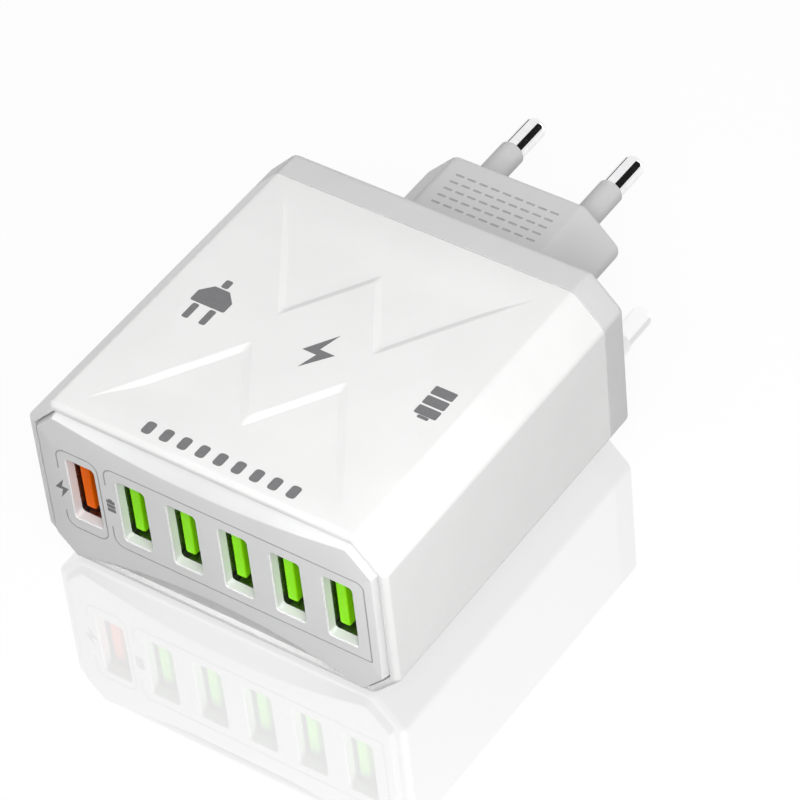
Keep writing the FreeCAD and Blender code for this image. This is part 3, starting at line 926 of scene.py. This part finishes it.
@dataclass(frozen=True)
class PortPanel:
    """Port panel: bowed lens facets above and below the face, and a cut-out for each socket.

    The moves are further insets of single sides, of the panel's base and of its face.
    """

    datum: Datum
    inwards: float = 1.7
    face_inset: float = 0.35
    base_moves: tuple[tuple[Side, float], ...] = ((Side.BASE, -0.17), (Side.LEFT, 0.15))
    face_moves: tuple[tuple[Side, float], ...] = ((Side.LEFT, 0.65),)
    sink: float = 0.7
    bow_above: float = 2.7
    bow_below: float = 4.2
    bow_steps: int = 40
    corner: float = 0.5
    corner_steps: int = 4
    wall: float = 1.75
    skirt: float = 1.4
    edge_soft: float = 0.12
    hole_width: float = 5.24
    hole_height: float = 12.62
    hole_corner: float = 0.6
    hole_steps: int = 6
    hole_lip: float = 0.2
    lip_steps: int = 4

    def outline(self, inwards: float, bowed: bool) -> list[Pair]:
        """The panel's outline, whose top and bottom sides may bow towards the ports.

        Args:
            inwards: How far it lies inside the panel's base.
            bowed: Whether the two sides bow, or run straight.

        Returns:
            Points of the outline, equally many with and without the bows.
        """
        base = self.datum.corners(self.inwards)
        sides = [inwards] * len(base)
        for side, move in self.face_moves if bowed else self.base_moves:
            sides[side] += move
        corners = rounded(inset(base, sides), self.corner, self.corner_steps)
        bows = {Side.BASE: self.bow_below, Side.TOP: -self.bow_above}
        rises = {side.start(self.corner_steps): bow * bowed for side, bow in bows.items()}
        points = []
        for index, (x, z) in enumerate(corners):
            points.append((x, z))
            if index not in rises:
                continue
            run = corners[index + 1][0] - x
            for share in spread(0.0, 1.0, self.bow_steps)[1:-1]:
                points.append((x + share * run, z + 4 * share * (1 - share) * rises[index]))
        return points

    def hole(self, skin: Skin, x: float, z: float) -> tuple[list[BMVert], list[BMVert]]:
        """Adds the wall of one cut-out, with a rounded lip.

        Args:
            skin: The panel's skin.
            x: Middle of the socket along the row.
            z: Middle of the socket's height.

        Returns:
            The wall's ring in the panel's face and its ring in the panel's back.
        """
        rings = []
        edge = rectangle(x, z, self.hole_width, self.hole_height)
        for inward, along in quarter_round(self.hole_lip, self.lip_steps):
            grown = inset(edge, inward - self.hole_lip)
            radius = self.hole_corner + self.hole_lip - inward
            rings.append(skin.ring(rounded(grown, radius, self.hole_steps), self.datum.port_face + along))
        wall = rounded(edge, self.hole_corner, self.hole_steps)
        rings.append(skin.ring(wall, self.datum.port_face + self.wall))
        skin.bands(rings)
        return rings[0], rings[-1]

    def build(self, material: Material, sockets: Sequence[Vector]) -> None:
        """Builds the panel and sets it on the charger.

        Args:
            material: The panel's finish.
            sockets: Middle of each socket.
        """
        skin = Skin()
        datum, soft = self.datum, self.edge_soft
        foot = datum.rim + self.sink
        slope = soft / (foot - datum.port_face)
        base = self.outline(0.0, bowed=False)
        inner = self.outline(self.skirt, bowed=False)
        face = self.outline(self.face_inset, bowed=True)
        rings = [
            skin.ring(self.outline(self.face_inset + soft, bowed=True), datum.port_face),
            skin.ring(part_way(face, base, slope), datum.port_face + soft),
            skin.ring(part_way(base, face, slope), foot - soft),
            skin.ring(base, foot + soft),
            skin.ring(base, datum.ledge),
            skin.ring(inner, datum.ledge),
            skin.ring(inner, datum.port_face + self.wall),
        ]
        skin.bands(rings)
        holes = [self.hole(skin, socket.x, socket.z) for socket in sockets]
        skin.plate(rings[0], [front for front, _ in holes])
        skin.plate(rings[-1], [back for _, back in holes])
        place(skin.to_object("port_panel"), material, Slot.PANEL, ["front_panel"])


@dataclass(frozen=True)
class RearCover:
    """Grey cover with its lip, round back edge and the six-sided plug block."""

    datum: Datum
    length: float = 5.6
    back_round: float = 1.2
    round_steps: int = 6
    lip_length: float = 3.0
    lip_inset: float = 1.2
    edge_soft: float = 0.22
    plug_width: float = 38.4
    plug_height: float = 14.0
    plug_flat: float = 24.8
    plug_corner: float = 2.2
    plug_corner_steps: int = 8
    plug_round: float = 1.0
    root_round: float = 0.5
    root_steps: int = 4

    def plug(self, inwards: float, middle: float) -> list[Pair]:
        """The plug block's outline with round corners, moved inwards."""
        flat, half, up = self.plug_flat / 2, self.plug_width / 2, self.plug_height / 2
        corners = [
            (-flat, middle - up), (flat, middle - up), (half, middle),
            (flat, middle + up), (-flat, middle + up), (-half, middle),
        ]
        radius = self.plug_corner - inwards
        return rounded(inset(corners, inwards), radius, self.plug_corner_steps)

    def build(self, material: Material, plug_level: float) -> None:
        """Builds the cover and sets it on the charger.

        Args:
            material: The cover's finish.
            plug_level: Height of the pins.
        """
        skin = Skin()
        datum = self.datum
        back = datum.joint + self.length
        lip_front = datum.joint - self.lip_length
        walls = [
            (datum.wall, back - datum.wall), (datum.wall, lip_front), (self.lip_inset, lip_front),
            (self.lip_inset, datum.joint), (0.0, datum.joint), (0.0, back),
        ]
        profile = softened(walls, self.edge_soft, closed=False)[:-1]
        for inward, along in quarter_round(self.back_round, self.round_steps):
            profile.append((inward, back - self.back_round + along))
        rings = [skin.ring(datum.section(inwards), y) for inwards, y in profile]
        skin.bands(rings)
        skin.cap(rings[0])
        root = reversed(quarter_round(self.root_round, self.root_steps))
        block = [(-inward, back + self.root_round - along) for inward, along in root]
        for inward, along in quarter_round(self.plug_round, self.round_steps):
            block.append((inward, datum.plug_end - self.plug_round + along))
        sides = [skin.ring(self.plug(inwards, plug_level), y) for inwards, y in block]
        skin.bands(sides)
        skin.cap(sides[-1])
        skin.plate(rings[-1], [sides[0]])
        place(skin.to_object("rear_cover_skin"), material, Slot.COVER, ["rear_cover"])


@dataclass(frozen=True)
class MainsPins:
    """Round pins with bullet tips, and the sleeves on their roots."""

    rows: RowTree
    segments: int = 48
    tip_round: float = 1.6
    tip_steps: int = 10
    core_radius: float = 1.5
    pin_radius: float = 2.0
    shoulder: float = 0.15

    def turned(self, name: str, profile: Sequence[Pair]) -> Object:
        """Turns a profile about a line along Y.

        Args:
            name: Name of the object.
            profile: Points as radius and depth, from the inner end to the outer one.

        Returns:
            The turned piece, with both ends closed.
        """
        skin = Skin()
        angles = spread(0.0, 2 * math.pi, self.segments)[:-1]
        circle = [(math.cos(angle), math.sin(angle)) for angle in angles]
        skin.tube([skin.ring([(radius * x, radius * z) for x, z in circle], y) for radius, y in profile])
        return skin.to_object(name)

    def build(self, plating: Material, plastic: Material) -> None:
        """Builds both pins and both sleeves and sets them on the charger."""
        sleeve_low, sleeve_high = box_mm("pin_sleeve_left")
        other = box_mm("pin_sleeve_right")[0]
        tip = box_mm("pin_left")[1].y
        middle = (sleeve_low + sleeve_high) / 2
        step = metres(other.x - sleeve_low.x, 0.0, 0.0)
        start = metres(middle.x, 0.0, middle.z)
        root, end = sleeve_low.y, sleeve_high.y
        radius = (sleeve_high.x - sleeve_low.x) / 2
        soft = self.shoulder
        sleeve = [
            (self.core_radius, root), (radius, root), (radius, end - soft),
            (radius - soft / 3, end - soft / 3), (radius - soft, end), (self.core_radius, end),
        ]
        pin = [(self.core_radius, root), (self.core_radius, end), (self.pin_radius - soft / 2, end)]
        pin.append((self.pin_radius, end + soft / 2))
        for inward, along in quarter_round(self.tip_round, self.tip_steps):
            pin.append((self.pin_radius - inward, tip - self.tip_round + along))
        both = (
            ("mains_pins", pin, plating, Slot.PIN, ["pin_left", "pin_right"]),
            ("pin_sleeves", sleeve, plastic, Slot.COVER, ["pin_sleeve_left", "pin_sleeve_right"]),
        )
        for name, profile, finish, slot, nodes in both:
            piece = self.turned(name + "_one", profile)
            made = self.rows.repeat(name, piece, Finish=finish, Start=start, Columns=2, Column_Step=step)
            place(made, finish, slot, nodes)


@dataclass(frozen=True)
class SocketRow:
    """Coloured tongues on their carriers, and the contact strips on each tongue."""

    rows: RowTree
    count: int = 6
    tongue_thickness: float = 1.84
    tongue_height: float = 11.1
    tongue_from_left: float = 0.35
    tip_profile: tuple[Pair, ...] = ((0.24, 0.0), (0.14, 0.03), (0.04, 0.16), (0.0, 0.28))
    edge_round: float = 0.22
    round_steps: int = 3
    carrier_length: float = 4.0
    contact_levels: tuple[float, ...] = (-3.5, -1.0, 1.0, 3.5)
    contact_width: float = 1.0
    contact_gauge: float = 0.25
    contact_setback: float = 1.4
    contact_soft: float = 0.08
    contact_steps: int = 2

    def middles(self) -> list[Vector]:
        """Middle of each socket's opening, from left to right."""
        found = []
        for number in range(1, self.count + 1):
            low, high = box_mm(f"usb_insulator_{number}")
            found.append((low + high) / 2)
        return found

    def insulator(self, name: str) -> Object:
        """Builds one tongue on its carrier, with its middle at nothing in X.

        Args:
            name: Name of the object.

        Returns:
            The insulator.
        """
        low, high = box_mm("usb_insulator_1")
        width, height = high.x - low.x, high.z - low.z
        level = (low.z + high.z) / 2
        x = -width / 2 + self.tongue_from_left + self.tongue_thickness / 2
        tongue = rectangle(x, level, self.tongue_thickness, self.tongue_height)
        carrier = rectangle(0.0, level, width, height)
        shoulder = high.y - self.carrier_length
        tip = [(inset(tongue, inward), low.y + along) for inward, along in self.tip_profile]
        sections = [*tip, (tongue, shoulder), (carrier, shoulder), (carrier, high.y)]
        skin = Skin()
        rings = [(rounded(outline, self.edge_round, self.round_steps), y) for outline, y in sections]
        skin.tube([skin.ring(outline, y) for outline, y in rings])
        return skin.to_object(name)

    def contact(self) -> Object:
        """Builds one contact strip along Y, with soft edges, its middle at nothing in Z."""
        low, high = box_mm("usb_insulator_1")
        across = -(high.x - low.x) / 2 + self.tongue_from_left + self.tongue_thickness
        section = rectangle(across + self.contact_gauge / 2, 0.0, self.contact_gauge, self.contact_width)
        front = low.y + self.contact_setback
        soft = self.contact_soft
        tip = rounded(inset(section, soft), soft / 2, self.contact_steps)
        strip = rounded(section, soft, self.contact_steps)
        rings = ((tip, front), (strip, front + soft), (strip, high.y))
        skin = Skin()
        skin.tube([skin.ring(outline, y) for outline, y in rings])
        return skin.to_object("contact_one")

    def build(self, orange: Material, green: Material, gold: Material) -> None:
        """Builds the tongues and contacts of the whole row and sets them on the charger."""
        middles = self.middles()
        step = metres(middles[1].x - middles[0].x, 0.0, 0.0)
        first = metres(middles[0].x, 0.0, 0.0)
        groups = (
            ("fast_port_tongue", orange, Slot.ORANGE, 0, 1),
            ("port_tongues", green, Slot.GREEN, 1, self.count - 1),
        )
        for name, finish, slot, start, count in groups:
            made = self.rows.repeat(
                name, self.insulator(name + "_one"), Finish=finish, Start=first + start * step,
                Columns=count, Column_Step=step,
            )
            place(made, finish, slot, [f"usb_insulator_{start + index + 1}" for index in range(count)])
        levels = zip(self.contact_levels[:2], reversed(self.contact_levels[2:]))
        for pair, (lower, upper) in enumerate(levels):
            made = self.rows.repeat(
                f"port_contacts_{pair + 1}", self.contact(), Finish=gold,
                Start=first + metres(0.0, 0.0, middles[0].z + lower), Columns=self.count, Column_Step=step,
                Rows=2, Row_Step=metres(0.0, 0.0, upper - lower),
            )
            nodes = [f"usb_contacts_{index + 1}" for index in range(self.count)] if pair == 0 else []
            place(made, gold, Slot.CONTACT, nodes)


@dataclass(frozen=True)
class Sign:
    """One printed sign: where its middle lies on its face, and how high it is."""

    mark: Mark
    across: float
    up: float
    height: float


@dataclass(frozen=True)
class FrameLine:
    """One rounded line on the port face, from a low corner to a high one, with a gap in its left side."""

    name: str
    low: Pair
    high: Pair
    gap: Pair
    radii: tuple[float, ...] = (2.0, 2.0, 2.0, 2.0)


@dataclass(frozen=True)
class PatchGrid:
    """Columns and rows of one printed patch, round a middle given as across and behind the port face."""

    name: str
    size: Pair
    pitch: Pair
    columns: int
    rows: int
    middle: Pair


@dataclass(frozen=True)
class Prints:
    """Plain signs and a row of bars on the top, lines round the ports and rows of dashes on the plug."""

    datum: Datum
    rows: RowTree
    relief: Relief = field(default_factory=Relief)
    proud: float = 0.025
    sunk: float = 0.03
    sign_corner: float = 0.035
    round_steps: int = 3
    corner_part: float = 3.0
    bars: PatchGrid = PatchGrid(
        "charge_bars", size=(1.7, 2.6), pitch=(3.3, 0.0), columns=9, rows=1, middle=(1.8, 4.3),
    )
    dashes: PatchGrid = PatchGrid(
        "plug_dashes", size=(1.6, 0.42), pitch=(2.25, 1.75), columns=9, rows=5, middle=(0.0, 79.0),
    )
    line_width: float = 0.24
    line_steps: int = 8
    top_signs: tuple[Sign, ...] = (
        Sign(Mark.PLUG, -19.4, 31.0, 10.0),
        Sign(Mark.BOLT, 1.4, 30.2, 8.6),
        Sign(Mark.BATTERY, 22.8, 29.8, 7.6),
    )
    port_signs: tuple[Sign, ...] = (
        Sign(Mark.BOLT, -27.4, 16.8, 4.4),
        Sign(Mark.BATTERY, -17.85, 17.8, 3.0),
    )
    frames: tuple[FrameLine, ...] = (
        FrameLine("fast_port_frame", (-27.5, 8.9), (-19.4, 25.9), (12.1, 21.3)),
        FrameLine("port_row_frame", (-18.4, 9.1), (29.5, 26.2), (13.2, 22.2), (2.0, 0.4, 1.4, 2.0)),
    )

    def slab(self, skin: Skin, outline: Sequence[Pair], level: float) -> None:
        """Adds one printed patch that lies on a level face."""
        skin.slab(outline, level - self.sunk, level + self.proud)

    def top_sign(self, sign: Sign) -> Object:
        """Builds one sign on the top, to be read from the plug's side."""
        skin = Skin()
        y = self.datum.port_face + sign.up
        for patch in self.patches(sign.mark):
            outline = [(sign.across - sign.height * x, y - sign.height * up) for x, up in patch]
            self.slab(skin, outline, self.datum.top)
        return skin.to_object(f"{sign.mark.value}_sign")

    def patches(self, mark: Mark) -> list[list[Pair]]:
        """Outlines of a sign that is one high, as across and up from its middle.

        Args:
            mark: Which sign.

        Returns:
            An outline for each separate patch of ink.
        """
        if mark is Mark.BOLT:
            return [[(-0.30, -0.04), (0.02, -0.04), (-0.10, -0.50), (0.30, 0.10), (0.0, 0.10), (0.12, 0.50)]]
        boxes = {
            Mark.PLUG: [(-0.16, 0.33, 0.12, 0.34), (0.16, 0.33, 0.12, 0.34), (0.0, -0.41, 0.13, 0.18)],
            Mark.BATTERY: [
                (0.0, 0.46, 0.26, 0.08), (0.0, -0.29, 0.52, 0.24),
                (0.0, 0.0, 0.52, 0.24), (0.0, 0.29, 0.52, 0.24),
            ],
        }[mark]
        patches = [rounded(rectangle(*box), self.sign_corner, self.round_steps) for box in boxes]
        if mark is Mark.PLUG:
            body = [(-0.32, 0.13), (-0.32, -0.1), (-0.14, -0.29), (0.14, -0.29), (0.32, -0.1), (0.32, 0.13)]
            patches.append(rounded(body, self.sign_corner, self.round_steps))
        return patches

    def grid(self, grid: PatchGrid, material: Material, level: float, slope: float = 0.0) -> Object:
        """Builds columns and rows of one patch.

        Args:
            grid: Their sizes and places.
            material: Their ink.
            level: Height of the face under a patch's middle.
            slope: How fast the face falls along Y.

        Returns:
            All the patches as one piece.
        """
        skin = Skin()
        corner = min(grid.size) / self.corner_part
        self.slab(skin, rounded(rectangle(0.0, 0.0, *grid.size), corner, self.round_steps), level)
        for vertex in skin.mesh.verts:
            vertex.co.z -= slope * vertex.co.y
        across, along = grid.pitch
        x = grid.middle[0] - (grid.columns - 1) * across / 2
        y = self.datum.port_face + grid.middle[1] - (grid.rows - 1) * along / 2
        return self.rows.repeat(
            grid.name, skin.to_object(grid.name + "_one"), Finish=material, Start=metres(x, y, 0.0),
            Columns=grid.columns, Column_Step=metres(across, 0.0, 0.0),
            Rows=grid.rows, Row_Step=metres(0.0, along, 0.0),
        )

    def sloped_bars(self, material: Material) -> Object:
        """Builds the row of bars, set down on the shallow slope of the relief."""
        length = self.bars.size[1]
        along = self.relief.middle - self.relief.band / 2 - self.bars.middle[1]
        front, back = (self.relief.floor(along + end) for end in (length / 2, -length / 2))
        return self.grid(self.bars, material, self.datum.top - (front + back) / 2, (back - front) / length)

    def frame_line(self, line: FrameLine) -> Object:
        """Builds one thin rounded frame on the port face."""
        low, high = Vector(line.low), Vector(line.high)
        whole = rectangle(*(low + high) / 2, *(high - low))
        face = self.datum.port_face
        skin = Skin()
        rings = []
        for inwards, y in (
            (0.0, face + self.sunk), (0.0, face - self.proud),
            (self.line_width, face - self.proud), (self.line_width, face + self.sunk),
        ):
            side = low.x + inwards
            radii = [radius - inwards for radius in line.radii]
            corners = rounded(inset(whole, inwards), radii, self.line_steps)
            rings.append(skin.ring([(side, line.gap[0]), *corners, (side, line.gap[1])], y))
        for one, two in zip(rings, rings[1:] + rings[:1]):
            skin.band(one, two, gap=len(one) - 1)
        skin.cap([ring[0] for ring in rings])
        skin.cap([ring[-1] for ring in rings])
        return skin.to_object(line.name)

    def port_sign(self, sign: Sign) -> Object:
        """Builds one small sign on the port face."""
        face = self.datum.port_face
        skin = Skin()
        for patch in self.patches(sign.mark):
            outline = [(sign.across + sign.height * x, sign.up + sign.height * up) for x, up in patch]
            skin.tube([skin.ring(outline, y) for y in (face + self.sunk, face - self.proud)])
        return skin.to_object(f"port_{sign.mark.value}_sign")

    def build(self, ink: Material, line_ink: Material, plug_top: float) -> None:
        """Builds every print and sets it on the charger.

        Args:
            ink: Finish of the signs and bars.
            line_ink: Finish of the lines and dashes.
            plug_top: Height of the plug's top.
        """
        for sign in self.top_signs:
            place(self.top_sign(sign), ink, Slot.HOUSING)
        place(self.sloped_bars(ink), ink, Slot.HOUSING)
        place(self.grid(self.dashes, line_ink, plug_top), line_ink, Slot.COVER)
        for line in self.frames:
            place(self.frame_line(line), line_ink, Slot.PANEL)
        for sign in self.port_signs:
            place(self.port_sign(sign), ink, Slot.PANEL)


@dataclass(frozen=True)
class Electronics:
    """The board, sockets' shells and power parts: the solids themselves, in finishes of their own."""

    def build(self, frame: dict) -> None:
        """Gives each inner solid the finish of its slot.

        Args:
            frame: What the frame's loading returned.
        """
        made: dict[str, Material] = {}
        for entry in frame["record"]["subparts"]:
            slot = entry["material_slot"]
            if slot not in INNER_FINISHES:
                continue
            if slot not in made:
                made[slot] = INNER_FINISHES[slot].material()
            node = frame["nodes"][entry["node"]]
            node.data.materials.clear()
            node.data.materials.append(made[slot])
        LOG.info("inner parts: %d finishes", len(made))


# Studio


@dataclass(frozen=True)
class View:
    """The camera, by where it aims and how it stands round the charger; near and far are in metres."""

    aim: Point = (6.877, -11.621, 17.0)
    azimuth: float = 38.878
    elevation: float = 44.699
    roll: float = -6.414
    distance: float = 648.94
    lens: float = 189.71
    sensor: float = 36.0
    near: float = 0.01
    far: float = 20.0

    def build(self) -> None:
        """Makes the camera and gives it to the scene."""
        data = bpy.data.cameras.new("camera")
        data.lens = self.lens
        data.sensor_width = self.sensor
        data.clip_start = self.near
        data.clip_end = self.far
        camera = in_scene("camera", data)
        tilt = Euler((math.radians(90 - self.elevation), 0.0, math.radians(self.azimuth)), "XYZ").to_matrix()
        turn = tilt @ Matrix.Rotation(math.radians(self.roll), 3, "Z")
        camera.matrix_world = turn.to_4x4()
        camera.location = metres(*self.aim) + tilt @ Vector((0.0, 0.0, self.distance * MM))
        bpy.context.scene.camera = camera


@dataclass(frozen=True)
class Lamp:
    """One soft square lamp that faces the charger, in metres and watts."""

    name: str
    place: Point
    size: float
    power: float
    aim: Point = (0.0, 0.0, 0.015)

    def build(self) -> None:
        """Makes the lamp."""
        data = bpy.data.lights.new(self.name, "AREA")
        data.shape = "SQUARE"
        data.size = self.size
        data.energy = self.power
        lamp = in_scene(self.name, data)
        lamp.location = self.place
        lamp.rotation_euler = (Vector(self.aim) - Vector(self.place)).to_track_quat("-Z", "Y").to_euler()


@dataclass(frozen=True)
class Studio:
    """Pale floor and background, soft lamps and dark cards that only reflections see.

    Half the floor's width, and the middle, width and height of each card, are in metres.
    """

    ambient: float = 0.36
    floor_half: float = 3.0
    floor_colour: float = 0.97
    floor_bounce: float = 0.05
    floor_lift: float = 0.9
    floor_gloss: float = 0.22
    floor_roughness: float = 0.0
    floor_drop: float = 0.03
    lamps: tuple[Lamp, ...] = (
        Lamp("key", (0.28, -0.26, 0.5), 0.3, 0.9),
        Lamp("front_key", (0.2, -0.42, 0.42), 0.25, 1.15),
        Lamp("near_key", (0.15, -0.17, 0.11), 0.1, 0.165),
        Lamp("left_fill", (-0.9, 0.1, 0.55), 0.6, 1.3),
        Lamp("back_fill", (0.6, 1.0, 0.3), 0.6, 1.7),
        Lamp("right_fill", (1.05, 0.25, 0.4), 0.6, 2.3),
    )
    card_grey: float = 0.05
    cards: tuple[tuple[str, Point, float, float], ...] = (
        ("right_card", (0.52, 0.45, 0.4), 0.6, 0.72),
        ("left_card", (-0.7, 0.3, 0.1), 0.6, 0.16),
    )

    def build_world(self) -> None:
        """Lights the surroundings evenly, and shows them white to the camera and to reflections."""
        world = bpy.data.worlds.new("studio")
        nodes = Nodes.cleared(world)
        dim, bright = (
            nodes.add("ShaderNodeBackground", Color=grey(1.0), Strength=strength).outputs["Background"]
            for strength in (self.ambient, 1.0)
        )
        nodes.add("ShaderNodeOutputWorld", Surface=nodes.mix(nodes.seen(), dim, bright))
        bpy.context.scene.world = world

    def floor_material(self) -> Material:
        """Builds the floor's pale finish, which keeps a soft shadow and mirrors the charger faintly."""
        material = bpy.data.materials.new("studio_floor")
        nodes = Nodes.cleared(material)
        matt, pale = (
            nodes.add("ShaderNodeBsdfDiffuse", Color=grey(level)).outputs["BSDF"]
            for level in (self.floor_bounce, self.floor_colour)
        )
        gloss = nodes.add("ShaderNodeBsdfAnisotropic", Color=grey(1.0), Roughness=self.floor_roughness)
        lifted = nodes.mix(self.floor_lift, pale, nodes.add("ShaderNodeEmission").outputs["Emission"])
        glossy = nodes.mix(self.floor_gloss, lifted, gloss.outputs["BSDF"])
        nodes.add("ShaderNodeOutputMaterial", Surface=nodes.mix(nodes.seen(), matt, glossy))
        return material

    def build_floor(self) -> None:
        """Lays the floor just under the charger."""
        skin = Skin()
        reach = self.floor_half / MM
        skin.cap([skin.vertex(x, y, -self.floor_drop) for x, y in rectangle(0.0, 0.0, 2 * reach, 2 * reach)])
        floor = skin.to_object("floor")
        floor.data.materials.append(self.floor_material())

    def build_cards(self) -> None:
        """Stands up the dark cards, which only soft reflections show, so that the floor stays plain."""
        material = bpy.data.materials.new("dark_card")
        nodes = Nodes.cleared(material)
        dark = nodes.add("ShaderNodeBsdfDiffuse", Color=grey(self.card_grey)).outputs["BSDF"]
        clear = nodes.add("ShaderNodeBsdfTransparent").outputs["BSDF"]
        mirrored = nodes.add("ShaderNodeLightPath").outputs["Is Singular Ray"]
        nodes.add("ShaderNodeOutputMaterial", Surface=nodes.mix(mirrored, dark, clear))
        for name, centre, width, height in self.cards:
            data = bpy.data.meshes.new(name)
            corners = [(x, y, 0.0) for x, y in rectangle(0.0, 0.0, width, height)]
            data.from_pydata(corners, [], [range(len(corners))])
            card = in_scene(name, data)
            card.location = centre
            card.rotation_euler = (-Vector(centre)).to_track_quat("Z", "Y").to_euler()
            data.materials.append(material)
            card.visible_camera = False
            card.visible_diffuse = False
            card.visible_shadow = False

    def build(self) -> None:
        """Builds the whole studio."""
        bpy.context.scene.view_settings.view_transform = "Standard"
        self.build_world()
        self.build_floor()
        self.build_cards()
        for lamp in self.lamps:
            lamp.build()


def main() -> None:
    """Loads the frame, builds each sub-assembly in order and sets up the studio."""
    logging.basicConfig(level=logging.INFO, format="%(name)s %(message)s")
    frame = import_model()
    datum = Datum.from_frame()
    rows = RowTree()
    sockets = SocketRow(rows)
    Housing(datum).build(WHITE_SHELL.material())
    PortPanel(datum).build(PORT_PANEL.material(), sockets.middles())
    plug_low, plug_high = box_mm("pin_left")
    cover = RearCover(datum)
    plug_level = (plug_low.z + plug_high.z) / 2
    cover.build(GREY_COVER.material(), plug_level)
    MainsPins(rows).build(PIN_PLATING.material(), GREY_SLEEVE.material())
    sockets.build(ORANGE_TONGUE.material(), GREEN_TONGUE.material(), GOLD_CONTACT.material())
    Prints(datum, rows).build(GREY_INK.material(), LINE_INK.material(), plug_level + cover.plug_height / 2)
    Electronics().build(frame)
    Studio().build()
    View().build()


if __name__ == "__main__":
    main()
